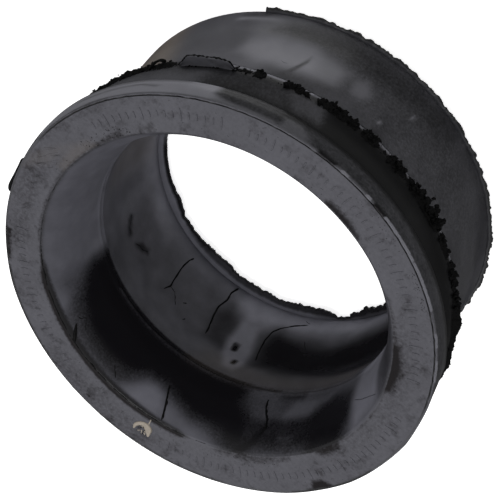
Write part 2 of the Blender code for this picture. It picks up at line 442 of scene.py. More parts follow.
# Painted reflections here too: the darkest patches stand in for the dark near wall, and the palest bands by
# the tail are painted highlights.
CHAMBER_BLOOM_AND_REFLECTIONS = (
    (0.66, 4.0, ((8, 20), (38, 20), (46, 40), (40, 58), (8, 58))),
    (0.55, 4.0, ((-30, 20), (6, 20), (8, 56), (-30, 56))),
    (0.66, 4.0, ((58, 25), (100, 25), (98, 36), (58, 37))),
    (0.93, 5.0, ((-5, 57), (50, 57), (52, 70), (-5, 70))),
    (0.92, 4.0, ((44, 57), (60, 56), (62, 70), (44, 70))),
    (0.8, 5.0, ((60, 57), (98, 58), (98, 70), (60, 70))),
    (0.98, 4.0, ((98, 58), (104, 51), (118, 54.5), (150, 56.5), (168, 61), (168, 70), (98, 70))),
    (0.36, 3.0, ((95, 38), (93, 49), (97, 55), (103, 50), (103, 36))),
    (0.9, 1.6, ((107, 28.5), (111, 28), (113.5, 32), (112.5, 42), (110, 52), (103.5, 54), (102.5, 43),
                (103.5, 35))),
    (0.0, 0.5, ((108.8, 31.6), (110.3, 31.4), (110.6, 33.8), (109.0, 34.4))),
    (0.0, 0.6, ((105.8, 38.0), (107.6, 38.2), (107.2, 41.6), (105.2, 41.8))),
    (0.22, 5.0, ((116, 35), (114, 46), (117, 53), (126, 51), (140, 49), (156, 53), (178, 55), (178, 31),
                 (140, 34))),
    (0.1, 4.0, ((132, 38), (134, 47), (156, 51), (180, 52), (180, 37), (150, 36))),
    (0.08, 4.0, ((117, 40), (117, 50), (128, 49), (134, 44), (130, 38))),
    (0.56, 2.5, ((114, 24), (158, 24), (160, 30), (114, 32))),
    (0.26, 0.8, ((42.5, 45), (44, 42.6), (48.5, 40.2), (50, 41.2), (46, 43.4), (44, 45.6))),
    (0.26, 0.8, ((53, 41.6), (55, 41.6), (60, 44.4), (59, 46), (55, 44.4))),
)
OUTSIDE_BLOOM_AND_LIGHT = (
    (0.46, 7.0, ((-14, 24), (190, 24), (190, 72), (-14, 72))),
    # Painted highlight: the flange's side stays pale past 352 degrees, where the bright band fades.
    (0.62, 6.0, ((352, -6), (380, -6), (380, 8), (352, 8))),
    (0.36, 3.0, ((6, -6), (204, -6), (204, 8), (6, 8))),
    (0.34, 1.5, ((200, -1), (276, -1), (276, 5.6), (200, 5.6))),
    (0.1, 0.6, ((250, -1), (255, -1), (255, 1.1), (250, 1.1))),
    (0.1, 0.6, ((267, -1), (272, -1), (272, 1.3), (267, 1.1))),
    (0.04, 0.5, ((200, 6.4), (300, 6.4), (300, 7.6), (200, 7.6))),
    # Painted highlight: the bright band on the flange's side from 292 to 352 degrees, and with the next
    # patches its paler stretches from 274 degrees, broken by darker swirls.
    (1.05, 1.5, ((292, -1), (352, -1), (352, 7.4), (296, 7.4))),
    (0.6, 1.6, ((274, -1), (284, -1), (282, 4.4), (278, 5), (275.5, 3))),
    (0.3, 1.6, ((283, -1), (296, 1), (299, 3), (298, 7.6), (283, 7.6))),
    (0.7, 0.8, ((283, -1), (300, -1), (300, 1.4), (283, 1.2))),
    (0.98, 1.5, ((298, -1), (316, -1), (313, 5.0), (302, 5.5))),
    (0.62, 0.5, ((314, 2.6), (318, 3.6), (330, 3.0), (337, 3.2), (337, 3.8), (330, 3.6), (318, 4.4),
                 (313, 3.2))),
    (0.66, 0.7, ((306, 6.0), (350, 5.2), (350, 7.4), (306, 7.4))),
    (0.42, 6.0, ((170, 25), (262, 25), (270, 70), (170, 70))),
    (0.52, 3.0, ((180, 50), (206, 50), (206, 70), (180, 70))),
    (0.48, 5.0, ((262, 28), (300, 28), (300, 64), (262, 64))),
    # Partly bloom, partly painted light: the barrel is paler from 298 degrees round past 0, on the side that
    # faces the light.
    (0.7, 6.0, ((298, 24), (380, 24), (380, 70), (294, 70))),
    # Painted shade: a darker band on the barrel between the highlight and the tail.
    (0.3, 3.0, ((244, 50), (286, 51), (304, 52.5), (300, 57), (286, 59), (244, 60))),
    # Painted highlight: this patch and the next two lay a soft bright blob on the barrel and a dimmer one
    # beside it.
    (0.82, 3.0, ((278, 47), (280, 39), (290, 36.5), (296, 37), (296, 50), (288, 50))),
    (0.96, 3.0, ((287, 47), (288, 41), (294, 37.5), (302, 37), (310, 42), (309, 48), (300, 50.5), (290, 50))),
    (0.72, 1.8, ((269.5, 44), (272, 40.5), (275.5, 41), (276.5, 46), (273, 48))),
    # Painted shade: a soft dark line along the crease across the blob.
    (0.42, 0.5, ((292.0, 36), (293.2, 36), (291.4, 41), (289.8, 45.4), (289.2, 44.8), (290.6, 40))),
    (0.34, 0.4, ((245.4, 50), (246.2, 50), (250.6, 60), (249.8, 60))),
    (0.9, 0.4, ((263.6, 37.4), (264.6, 37.4), (264.8, 39), (263.8, 39))),
    (0.8, 0.3, ((257.2, 48.6), (258.0, 48.6), (258.0, 49.6), (257.2, 49.6))),
    # Painted highlight: thin bright crescents along the folds near the tail.
    (1.1, 0.9, ((301, 57.5), (310, 57), (318, 58), (316, 59), (306, 58.6))),
    (0.5, 0.8, ((308, 59.5), (316, 59.3), (316, 60.6), (308, 60.8))),
    # Partly dusty bloom, partly painted light and shade: the neck and ramp are paler towards the ridge and
    # from 306 degrees on, where they catch the light, and darker under the flange's back.
    (0.36, 2.5, ((276, 15), (288, 14.5), (306, 14.5), (311, 20), (290, 21), (276, 20))),
    (0.56, 1.8, ((276, 16), (283, 15), (286, 19), (284, 20.5), (277, 20))),
    (0.2, 1.5, ((276, 9), (330, 9), (326, 14), (276, 13.5))),
    (0.66, 4.0, ((310, 12), (372, 8), (372, 21), (306, 20))),
    # Painted shadow under the flash tab.
    (0.0, 0.8, ((305, 20), (314, 19.8), (315, 22.4), (304, 22.4))),
    # Painted reflection: bright stripes along the ridge's land.
    (0.8, 0.6, ((206, 22.4), (281, 22.4), (281, 24.1), (206, 24.1))),
    (1.15, 0.6, ((281, 22.4), (310, 22.4), (310, 24.1), (281, 24.1))),
)
# On the barrel's left the brown is a painted reflection of warm surroundings.
OUTSIDE_WARM_REFLECTION = (
    (0.75, 6.0, ((332, 34), (372, 32), (372, 66), (336, 64))),
)
BORE_DUST = (
    (0.2, 4.0, ((96, 24), (165, 25), (165, 31), (100, 33))),
    (0.16, 5.0, ((4, 30), (24, 32), (28, 62), (6, 62))),
)
FACE_DUST = (
    (0.26, 1.6, ((-23, 56), (-6, 55.6), (-6, 58.6), (-15, 60.0), (-21, 58.6))),
    (0.16, 1.5, ((-16, 60), (-4, 61), (2, 67), (-3, 67))),
)
FACE_BLOOM = (
    (0.66, 3.0, ((262, 58), (300, 57), (320, 62), (306, 68), (262, 68))),
    (0.48, 3.0, ((-4, 60), (26, 60), (30, 66), (-4, 67))),
    (0.48, 2.5, ((62, 62), (100, 60), (100, 68), (60, 69))),
    (0.52, 3.0, ((160, 57), (222, 57), (218, 62), (160, 61))),
    (-0.1, 1.7, ((192, 53), (216, 53), (213, 58.0), (205, 59.0), (196, 58.0))),
    (0.05, 0.5, ((250, 67.5), (255, 67.5), (255, 70), (250, 70))),
    (0.05, 0.5, ((267, 67.5), (272, 67.5), (272, 70), (267, 70))),
    (0.28, 0.8, ((213, 54), (232, 54), (230, 56.8), (214, 57.2))),
    (0.0, 1.2, ((246, 54), (264, 54), (262, 58.2), (254, 58.2), (249, 57.2))),
    (-0.05, 0.8, ((149.4, 64.6), (152.6, 64.8), (155.8, 69), (143.6, 69), (148, 67))),
    (0.2, 0.4, ((142, 67.3), (168, 67.3), (168, 70), (142, 70))),
    (0.05, 0.7, ((23.6, 65.8), (33, 66.4), (35, 70), (22, 70))),
    (0.12, 0.4, ((35, 67.1), (64, 67.2), (64, 70), (35, 70))),
    (0.3, 0.5, ((84, 67.0), (122, 67.2), (122, 70), (84, 70))),
    (0.25, 0.6, ((325, 54), (341, 54), (340, 57.0), (328, 58.0))),
    (0.36, 0.5, ((-20, 54), (24, 54), (24, 56.7), (-20, 56.8))),
    (-0.1, 0.6, ((24, 54), (114, 54), (108, 56.9), (84, 57.3), (60, 57.1), (36, 56.9))),
    (0.34, 0.8, ((118, 54), (148, 54), (146, 57.4), (134, 58.4), (120, 57.2))),
    (0.08, 1.0, ((153, 54), (169, 54), (165, 58.2), (158, 58.2))),
    (0.34, 0.5, ((168, 54), (194, 54), (194, 56.6), (168, 56.6))),
    (0.52, 0.8, ((330, 64.6), (345, 66), (352, 69), (325, 69))),
)


def patch(along, across, outline, softness):
    """How far each place lies inside an outline, from 0 well outside to 1 well inside; all in mm."""
    inside = np.zeros(len(along), bool)
    nearest = np.full(len(along), 1000.0)
    for (x0, y0), (x1, y1) in zip(outline, outline[1:] + outline[:1]):
        dx, dy = x1 - x0, y1 - y0
        share = np.clip(((along - x0) * dx + (across - y0) * dy) / (dx * dx + dy * dy), 0, 1)
        nearest = np.minimum(nearest, np.hypot(along - x0 - share * dx, across - y0 - share * dy))
        inside ^= ((y0 > across) != (y1 > across)) & (along < x0 + (across - y0) * dx / (dy if dy else 1))
    share = np.clip(0.5 + np.where(inside, nearest, -nearest) / (2 * softness), 0, 1)
    return (3 - 2 * share) * share**2


def lay_bloom_and_light(bloom_and_painted_light, rows, patches, heights, mm_per_degree):
    """Lays patches of bloom and painted light on the rows of vertices given, one over the other."""
    for amount, softness, outline in patches:
        in_mm = [(angle * mm_per_degree, height) for angle, height in outline]
        for turn in (-360, 0, 360):
            along = (angles[rows] - turn) * mm_per_degree
            cover = patch(along, heights[rows], in_mm, softness)
            bloom_and_painted_light[rows] += (amount - bloom_and_painted_light[rows]) * cover


bloom_and_painted_light = np.full(len(places), BORE_FILM)
bloom_and_painted_light[outside] = SIDE_FILM
bloom_and_painted_light[on_face] = FACE_FILM
lay_bloom_and_light(bloom_and_painted_light, in_bore & (depths < LIP_LINE), LEAD_IN_BLOOM_AND_REFLECTIONS, depths, BORE_DEGREE)
lay_bloom_and_light(bloom_and_painted_light, in_bore & (depths >= LIP_LINE), CHAMBER_BLOOM_AND_REFLECTIONS, depths, BORE_DEGREE)
lay_bloom_and_light(bloom_and_painted_light, outside, OUTSIDE_BLOOM_AND_LIGHT, depths, SIDE_DEGREE)
lay_bloom_and_light(bloom_and_painted_light, on_face, FACE_BLOOM, radii, FACE_DEGREE)
dust_and_reflection = np.zeros(len(places))
lay_bloom_and_light(dust_and_reflection, outside, OUTSIDE_WARM_REFLECTION, depths, SIDE_DEGREE)
lay_bloom_and_light(dust_and_reflection, in_bore, BORE_DUST, depths, BORE_DEGREE)
lay_bloom_and_light(dust_and_reflection, on_face, FACE_DUST, radii, FACE_DEGREE)


def wave(x, y=0, z=0):
    """A smooth random wave between about -1 and 1, the same in each run."""
    return noise.noise(Vector((x, y, z)))


def paint(piece, name, values):
    """Stores a number at each vertex of a piece, for its material to read."""
    layer = piece.data.attributes.new(name, "FLOAT", "POINT")
    layer.data.foreach_set("value", values)


# The face's outer edge carries painted highlights in short stretches, where raised slivers catch the light,
# and the groove beside it is clear only on one side of the ring and nearly closed on the other. Angles are in
# degrees and radii in mm.
GLINT_REACH = ((205, 211), (215, 219), (225, 238), (239, 251), (256, 257.5), (263.5, 265))
GLINT_INNER = 67.75
GROOVE_REACH = ((196, 60), (350, 60), (350, 80), (196, 80))
GROOVE_SOFTNESS = 6.0
GROOVE_INNER, GROOVE_OUTER, GROOVE_FLOOR_OUTER = 67.0, 67.8, 67.6
GROOVE_FLOOR_DEPTH = 0.2
GROOVE_WANDER = 0.16  # how far the groove wanders in and out, in mm
in_groove = on_face & (depths > GROOVE_FLOOR_DEPTH) & (radii < GROOVE_FLOOR_OUTER)
groove_outline = [(angle * FACE_DEGREE, radius) for angle, radius in GROOVE_REACH]
groove_there = patch(angles * FACE_DEGREE, radii, groove_outline, GROOVE_SOFTNESS)
for row in np.flatnonzero(on_face & (radii > GLINT_INNER)):
    glint = wave(angles[row] * 1.3, 1, 6) + 0.6 * wave(angles[row] * 4.1, 5, 6)
    if any(low < angles[row] < high for low, high in GLINT_REACH):
        bloom_and_painted_light[row] = 1.4 + 0.9 * glint
for row in np.flatnonzero(on_face & (radii > GROOVE_INNER) & (radii < GROOVE_OUTER)):
    vertex = ring.data.vertices[row]
    wander = wave(angles[row] * 0.5, 6, 6) + 0.5 * wave(angles[row] * 1.7, 2, 6)
    share = 1 + GROOVE_WANDER * wander / radii[row]
    depth = depths[row] * max(0.1, 0.55 + 0.8 * wander) * (0.2 + 0.8 * groove_there[row])
    vertex.co = (vertex.co.x * share, vertex.co.y * share, HEIGHT - depth / 1000)
    # Painted shade: the groove's floor loses its film, most where the groove is clear.
    if in_groove[row]:
        bloom_and_painted_light[row] *= 1 - groove_there[row] * min(1.0, max(0.35, 0.95 + wander))
paint(ring, "bloom_and_painted_light", bloom_and_painted_light)
paint(ring, "dust_and_reflection", dust_and_reflection)

RUBBER_IOR = 1.52


def rubber_material(name, specular):
    """Vulcanised rubber: black all through, with carbon black in it, and a dull gloss."""
    return new_material(name, {"IOR": RUBBER_IOR, "Specular IOR Level": specular})


FILM_EDGE = 0.35  # the painted thickness at the middle of a patch's edge
EDGE_SPECKS = (-3.2, 1.25)  # how fast the specks fade away from an edge, and how strong they are on it
CLOUDS = (0.3, -0.15)  # how strong the clouds are, and how much they thin the film between them
BROWN_TINT = "#6a625b"


def clouded_bloom_and_light(tree, where, spread, speckle_mm, cloud_mm):
    """How thick the bloom and painted light are: the painted layer, clouded all over and broken into specks
    along its edges.
    """
    layer = add_node(tree, "ShaderNodeAttribute", {"attribute_name": "bloom_and_painted_light"}).outputs["Fac"]
    specks = add_node(tree, "ShaderNodeTexNoise", None, {
        "Vector": where, "Scale": 1000 / speckle_mm, "Detail": 6.0, "Roughness": 0.72}).outputs["Fac"]
    clouds = add_node(tree, "ShaderNodeTexNoise", None, {
        "Vector": where, "Scale": 1000 / cloud_mm, "Detail": 4.0, "Roughness": 0.55}).outputs["Fac"]
    centred = add_node(tree, "ShaderNodeMath", {"operation": "SUBTRACT"}, {0: layer, 1: FILM_EDGE}).outputs[0]
    distance = add_node(tree, "ShaderNodeMath", {"operation": "ABSOLUTE"}, {0: centred}).outputs[0]
    at_edge = add_node(tree, "ShaderNodeMath", {"operation": "MULTIPLY_ADD", "use_clamp": True},
                       {0: distance, 1: EDGE_SPECKS[0], 2: EDGE_SPECKS[1]}).outputs[0]
    offset = add_node(tree, "ShaderNodeMath", {"operation": "SUBTRACT"}, {0: specks, 1: 0.5}).outputs[0]
    torn = add_node(tree, "ShaderNodeMath", {"operation": "MULTIPLY"}, {0: offset, 1: at_edge}).outputs[0]
    broken = add_node(tree, "ShaderNodeMath", {"operation": "MULTIPLY_ADD"},
                      {0: torn, 1: spread, 2: layer}).outputs[0]
    drift = add_node(tree, "ShaderNodeMath", {"operation": "MULTIPLY_ADD"},
                     {0: clouds, 1: CLOUDS[0], 2: CLOUDS[1]}).outputs[0]
    return add_node(tree, "ShaderNodeMath", {"operation": "ADD", "use_clamp": True},
                    {0: broken, 1: drift}).outputs[0]


def browned(tree, colour):
    """A colour browned as far as the painted layer says: dried dust, and on the barrel's left a painted warm
    reflection.
    """
    dust_and_reflection = add_node(tree, "ShaderNodeAttribute", {"attribute_name": "dust_and_reflection"}).outputs["Fac"]
    return add_node(tree, "ShaderNodeMixRGB", None, {0: dust_and_reflection, 1: colour, 2: linear(BROWN_TINT)}).outputs[0]


def filmed_colour(tree, film, power, bare, grey):
    """The rubber's colour under its film, which shows little where it is thin."""
    cover = add_node(tree, "ShaderNodeMath", {"operation": "POWER"}, {0: film, 1: power}).outputs[0]
    return add_node(tree, "ShaderNodeMixRGB", None, {0: cover, 1: linear(bare), 2: linear(grey)}).outputs[0]


def moulded_grain(tree, where, grain_mm, strength):
    """The fine relief that the mould's steel leaves on rubber."""
    grain = add_node(tree, "ShaderNodeTexNoise", None, {
        "Vector": where, "Scale": 1000 / grain_mm, "Detail": 3.0, "Roughness": 0.6}).outputs["Fac"]
    return add_node(tree, "ShaderNodeBump", None, {
        "Strength": strength, "Distance": 0.0002, "Height": grain}).outputs[0]


# Core-moulded rubber: black and glossy where it is bare, dull and grey where the bloom has come out. The
# bloom breaks into specks in the mouth and fades smoothly in the chamber below the lip. The painted layer
# also
# holds painted reflections: black where it stands for the dark near wall seen in the gloss, palest where it
# stands for highlights.
bore_rubber, tree, shader = rubber_material("core_moulded_rubber", 0.26)
where = add_node(tree, "ShaderNodeTexCoord").outputs["Object"]
up = add_node(tree, "ShaderNodeSeparateXYZ", None, {0: where}).outputs["Z"]
speckled = add_node(tree, "ShaderNodeMapRange", {"interpolation_type": "SMOOTHSTEP"},
                    {0: up, 1: 0.036, 2: 0.042, 3: 0.12, 4: 1.05}).outputs[0]
film = clouded_bloom_and_light(tree, where, speckled, 0.7, 6.0)
colour = filmed_colour(tree, film, 2.2, "#121114", "#6c6c75")
dullness = add_node(tree, "ShaderNodeMapRange", {"interpolation_type": "SMOOTHSTEP"},
                    {0: film, 1: 0.0, 2: 0.45, 3: 0.2, 4: 0.46}).outputs[0]
relief = moulded_grain(tree, where, 0.7, 0.12)
set_inputs(shader, {"Base Color": browned(tree, colour), "Roughness": dullness, "Normal": relief})
ring.data.materials.append(bore_rubber)

# The flange's face: moulded against a turned plate, so it is matt, finely scored and scuffed to a
# blue-grey, and smudged where it was handled. Its gloss is kept low and its grey made paler to make up for
# it, so part of that grey is a painted sheen.
face_rubber, tree, shader = rubber_material("scuffed_flange_rubber_with_painted_sheen", 0.12)
where = add_node(tree, "ShaderNodeTexCoord").outputs["Object"]
film = clouded_bloom_and_light(tree, where, 1.6, 1.2, 14.0)
smudges = add_node(tree, "ShaderNodeTexNoise", None,
                   {"Vector": where, "Scale": 1000 / 5.0, "Detail": 6.0, "Roughness": 0.68}).outputs["Fac"]
smudged = add_node(tree, "ShaderNodeMapRange", {"interpolation_type": "SMOOTHSTEP"},
                   {0: smudges, 1: 0.5, 2: 0.74, 3: 0.0, 4: 0.38}).outputs[0]
film = add_node(tree, "ShaderNodeMath", {"operation": "SUBTRACT", "use_clamp": True},
                {0: film, 1: smudged}).outputs[0]
colour = add_node(tree, "ShaderNodeMixRGB", None,
                  {0: film, 1: linear("#161315"), 2: linear("#68686f")}).outputs[0]
pits = add_node(tree, "ShaderNodeTexNoise", None,
                {"Vector": where, "Scale": 1000 / 0.8, "Detail": 4.0, "Roughness": 0.6}).outputs["Fac"]
scored = add_node(tree, "ShaderNodeMapping", None, {0: where, 2: (0, 0, 0.9), 3: (1.0, 0.06, 1.0)}).outputs[0]
scores = add_node(tree, "ShaderNodeTexNoise", None,
                  {"Vector": scored, "Scale": 1000 / 0.7, "Detail": 3.0, "Roughness": 0.6}).outputs["Fac"]
rough = add_node(tree, "ShaderNodeMath", {"operation": "ADD"}, {0: pits, 1: scores}).outputs[0]
relief = add_node(tree, "ShaderNodeBump", None, {
    "Strength": 0.6, "Distance": 0.0002, "Height": rough}).outputs[0]
set_inputs(shader, {"Base Color": browned(tree, colour), "Roughness": 0.48, "Normal": relief})
ring.data.materials.append(face_rubber)

# Flange's side, neck, ridge and barrel: plain moulded rubber, black with a satin gloss and a dusty film.
outer_rubber, tree, shader = rubber_material("barrel_rubber", 0.4)
where = add_node(tree, "ShaderNodeTexCoord").outputs["Object"]
film = clouded_bloom_and_light(tree, where, 0.8, 0.8, 12.0)
colour = filmed_colour(tree, film, 1.8, "#070708", "#636369")
relief = moulded_grain(tree, where, 0.5, 0.1)
set_inputs(shader, {"Base Color": browned(tree, colour), "Roughness": 0.3, "Normal": relief})
ring.data.materials.append(outer_rubber)

FACE_SKIN = 0.2  # a face is the flange's own where it lies less deep than this, in mm
for polygon in ring.data.polygons:
    corners = list(polygon.vertices)
    if in_bore[corners].all():
        polygon.material_index = 0
    elif (depths[corners] < FACE_SKIN).all():
        polygon.material_index = 1
    else:
        polygon.material_index = 2


# Torn flash. Thin fins of rubber that squeezed out where the mould's parts meet, and were torn off by
# hand: one round the ridge, one on the tail's outer edge and one in the tail's bore. What is left is
# ragged and crumbly. Each reach is in mm at an angle, and tears are the share of it, at an angle, that
# they may take.
FIN_STEPS = 1500
RIDGE_RAG = 0.6  # how fine the ragged edge is, in teeth per degree
TAIL_RAG = 0.55
BORE_RAG = 0.42
RIDGE_SEED, TAIL_SEED, BORE_SEED = 11, 12, 13
CRUMBLE_COARSE, CRUMBLE_FINE = 1400, 3100  # lumps per metre
CRUMBLE_SEED = 14
noise.seed_set(CRUMBLE_SEED)  # without a seed, noise_vector gives other lumps in each run
FIN_FIXED = 0.01  # a point this near the fin's root, in mm, stays where it is
RIDGE_FLASH_REACH = (
    (0, 1.0), (40, 1.3), (80, 0.9), (120, 1.4), (165, 1.0), (183, 0.9), (189, 1.3), (193, 1.7), (195, 2.2),
    (197, 1.7), (200, 1.45), (204, 1.4), (207, 2.1), (209, 2.5), (212, 2.0), (216, 1.7), (218.5, 0.5),
    (220.5, 2.0), (225, 1.6), (227, 0.5), (229, 1.0), (233, 1.3), (235, 0.4), (236.5, 3.0), (238, 4.4),
    (239.5, 3.0), (243, 3.2), (247, 2.6), (250, 1.2), (251.5, 0.5), (253, 1.8), (257, 2.0), (258.5, 0.5),
    (261.5, 0.6), (262.5, 1.8), (265, 1.6), (267, 0.5), (269, 1.6), (273, 2.0), (276, 2.0), (278.8, 1.0),
    (279.5, 0.3), (281.8, 0.3), (282.4, 1.3), (284.5, 1.6), (286, 1.3), (288, 1.1), (288.6, 0.3),
    (293.3, 0.3), (293.9, 1.3), (295.6, 1.4), (296.4, 0.5), (298, 0.8), (300, 0.6), (302, 0.9), (316, 0.9),
    (325, 1.4), (334, 1.5), (341, 1.6), (350, 1.2), (360, 1.0),
)
RIDGE_FLASH_TEARS = ((0, 0.8), (184, 0.8), (188, 0.1), (212, 0.1), (216, 0.8), (360, 0.8))
TAIL_FLASH_REACH = (
    (0, 0.3), (30, 0.9), (60, 0.4), (90, 1.0), (135, 0.4), (170, 1.0), (190, 1.5), (200, 1.8), (230, 1.8),
    (270, 1.9), (282, 2.0), (290, 1.8), (300, 1.6), (304, 2.0), (308, 2.3), (309.5, 2.2), (310, 0.1),
    (358, 0.1), (360, 0.3),
)
TAIL_FLASH_TEARS = ((0, 0.6), (360, 0.6))
BORE_FLASH_REACH = (
    (0, 2.6), (14, 2.8), (22, 2.95), (26, 3.15), (30, 3.25), (34, 3.45), (42, 3.8), (46, 4.4), (50, 5.1),
    (54, 4.6), (58, 3.9), (66, 4.1), (70, 4.6), (74, 5.4), (82, 5.8), (86, 5.6), (90, 5.2), (94, 4.8),
    (98, 5.0), (102, 4.6), (106, 4.5), (110, 4.3), (114, 4.1), (118, 4.6), (122, 4.9), (126, 5.1), (130, 4.6),
    (133, 3.8), (135.5, 3.0), (136.3, 1.2), (137.5, 1.3), (138, 1.9), (139, 1.4), (141.5, 1.7), (142.3, 2.6),
    (146, 3.9), (150, 5.0), (154, 3.7), (159, 3.9), (170, 3.2), (200, 2.8), (207, 0.6), (213, 0.8),
    (216, 2.6), (288, 2.2), (294, 0.5), (316, 0.6), (320, 1.8), (360, 2.6),
)
BORE_FLASH_TEARS = (
    (0, 0.0), (36, 0.0), (46, 0.1), (70, 0.22), (112, 0.3), (126, 0.3), (150, 0.5), (165, 0.5), (360, 0.3),
)


def looked_up(place, table):
    """What a table of (place, value) gives at a place between its rows."""
    return float(np.interp(place, *zip(*table)))


def left_over(angle, fineness, seed):
    """How much of a flash is left at an angle, from 0 to 1: ragged, with fineness in teeth per degree."""
    coarse = wave(angle * fineness * 0.35, seed, 0)
    fine = wave(angle * fineness, seed, 5)
    shreds = wave(angle * fineness * 2.7, seed, 9)
    return min(1.0, max(0.0, 0.66 + 0.6 * coarse + 0.7 * fine + 0.3 * shreds))


def torn_fin(name, section, root, reaches, tears, fineness, lumps, film, seed):
    """A fin turned from a closed section, of (share of its reach, depth in mm), drawn out and torn.

    Lumps is how crumbly the fin is in mm, and film is its bloom by angle and share of the reach."""
    fin = turned(name, [(root + share / 1000, depth / 1000) for share, depth in section], FIN_STEPS)
    bloom_on_fin = []
    for vertex in fin.data.vertices:
        x, y, z = vertex.co
        radius = math.hypot(x, y)
        angle = math.degrees(math.atan2(y, x)) % 360
        share = (radius - root) * 1000
        torn = looked_up(angle, tears)
        reach = looked_up(angle, reaches)
        reach *= 1 - torn + torn * left_over(angle, fineness, seed)
        crumble = noise.noise_vector(Vector((x, y, z)) * CRUMBLE_COARSE)
        crumble += 0.6 * noise.noise_vector(Vector((x, y, z)) * CRUMBLE_FINE)
        if abs(share) > FIN_FIXED:
            radius = root + share * reach / 1000
        place = Vector((radius * math.cos(math.radians(angle)), radius * math.sin(math.radians(angle)), z))
        vertex.co = place + crumble * min(1.0, abs(share) + 0.25) * lumps / 1000
        bloom_on_fin.append(film(angle, abs(share)))
    paint(fin, "bloom_and_painted_light", bloom_on_fin)
    fin.data.shade_smooth()
    part_of_gasket(fin)
    return fin


# Rubber freshly torn: it has had no bloom yet, so it is pitch black and dull.
torn_rubber, tree, shader = rubber_material("torn_rubber", 0.12)
where = add_node(tree, "ShaderNodeTexCoord").outputs["Object"]
crumbs_grain = add_node(tree, "ShaderNodeTexNoise", None, {
    "Vector": where, "Scale": 1000 / 0.35, "Detail": 4.0, "Roughness": 0.7}).outputs["Fac"]
colour = add_node(tree, "ShaderNodeMixRGB", None,
                  {0: crumbs_grain, 1: linear("#030303"), 2: linear("#0e0e0f")}).outputs[0]
relief = add_node(tree, "ShaderNodeBump", None,
                  {"Strength": 0.7, "Distance": 0.0002, "Height": crumbs_grain}).outputs[0]
set_inputs(shader, {"Base Color": colour, "Roughness": 0.65, "Normal": relief})

RIDGE_FIN = (
    (0, 19.7), (0.18, 20.1), (0.45, 20.7), (0.8, 21.2), (1.0, 21.8), (0.9, 22.4), (0.55, 23.0), (0.25, 23.6),
    (0, 24.1), (-0.3, 23.0), (-0.3, 20.6),
)
RIDGE_FIN_SUNK = 0.0003
RIDGE_LUMPS = 0.5
ridge_flash = torn_fin("ridge_flash", RIDGE_FIN, RIDGE_RADIUS - RIDGE_FIN_SUNK, RIDGE_FLASH_REACH,
                       RIDGE_FLASH_TEARS, RIDGE_RAG, RIDGE_LUMPS, lambda angle, share: 0.0, RIDGE_SEED)
ridge_flash.data.materials.append(torn_rubber)

TAIL_FIN = (
    (0, 61.5), (0.5, 61.75), (0.8, 61.9), (0.97, 62.0), (1.0, 62.15), (0.9, 62.3), (0.4, 62.5), (0, 62.7),
    (-0.3, 62.2),
)
TAIL_FIN_SUNK = 0.0001
TAIL_LUMPS = 0.06
TAIL_FIN_FILM, TAIL_FILM_END = 0.62, 0.6  # its bloom, and the share of its reach where that ends
tail_flash = torn_fin("tail_lip_flash", TAIL_FIN, BARREL_RADIUS + TAIL_SWELL - TAIL_FIN_SUNK,
                      TAIL_FLASH_REACH, TAIL_FLASH_TEARS, TAIL_RAG, TAIL_LUMPS,
                      lambda angle, share: TAIL_FIN_FILM if share < TAIL_FILM_END else 0.0, TAIL_SEED)
tail_flash.data.materials.append(outer_rubber)

BORE_FIN = (
    (0, 63.2), (-0.25, 63.36), (-0.5, 63.38), (-0.75, 63.4), (-0.9, 63.43), (-0.98, 63.5), (-1.0, 63.65),
    (-0.95, 63.8), (-0.6, 63.9), (-0.2, 63.95), (0, 64.1), (0.3, 63.7),
)
BORE_FIN_SUNK = 0.0001
BORE_LUMPS = 0.1
# Bloom at the flash's root, its middle and its edge, and the share of its reach where it turns black, at
# an angle. The root is as grey as the chamber beside it, so it carries on the chamber's painted highlight.
ROOT_FILM = ((0, 1.0), (60, 0.95), (124, 0.85), (136, 0.5), (165, 0.5), (175, 0.6), (360, 1.0))
MIDDLE_FILM = ((0, 1.0), (60, 1.0), (72, 0.45), (124, 0.3), (132, 0.2), (165, 0.1), (175, 0.6), (360, 1.0))
EDGE_FILM = ((0, 0.9), (18, 0.9), (26, 0.05), (360, 0.05))
BLACK_FROM = ((0, 0.55), (60, 0.5), (80, 0.75), (360, 0.75))
ROOT_END, MIDDLE_START, EDGE_FADE = 0.28, 0.42, 0.12


def bore_flash_grey(angle, share):
    """Bloom and painted highlight on the bore's flash: as grey as the chamber at its root, and black where it
    was torn last.
    """
    root, middle, edge, black = [
        looked_up(angle, table) for table in (ROOT_FILM, MIDDLE_FILM, EDGE_FILM, BLACK_FROM)
    ]
    films = ((0, root), (ROOT_END, root), (MIDDLE_START, middle), (black, middle), (black + EDGE_FADE, edge))
    return looked_up(share, films)


bore_flash = torn_fin("bore_flash", BORE_FIN, TAIL_BORE_RADIUS + BORE_FIN_SUNK, BORE_FLASH_REACH,
                      BORE_FLASH_TEARS, BORE_RAG, BORE_LUMPS, bore_flash_grey, BORE_SEED)
bore_flash.data.materials.append(bore_rubber)


# Flash tab. A wide flap of the ridge's flash that wasn't torn off. It stands out over the barrel, and its
# edge is rolled and black.
TAB_REACH = (
    (301, 1.0), (302.3, 2.9), (305, 3.5), (308, 3.4), (311, 3.7), (313.2, 3.6), (314.6, 2.2), (316, 0.9),
)
TAB_THICKNESS = 0.0004
TAB_ROOT = 65.6  # the radius in mm from which the tab reaches
TAB_DEPTH, TAB_LIFT, TAB_EDGE_DEPTH = 20.9, 0.5, 20.45  # its root, its edge's rise, the roll
TAB_RIPPLE, TAB_EDGE_RIPPLE = 0.25, 0.18
TAB_BLOOM = 0.85
TAB_EDGE_POINTS = 46
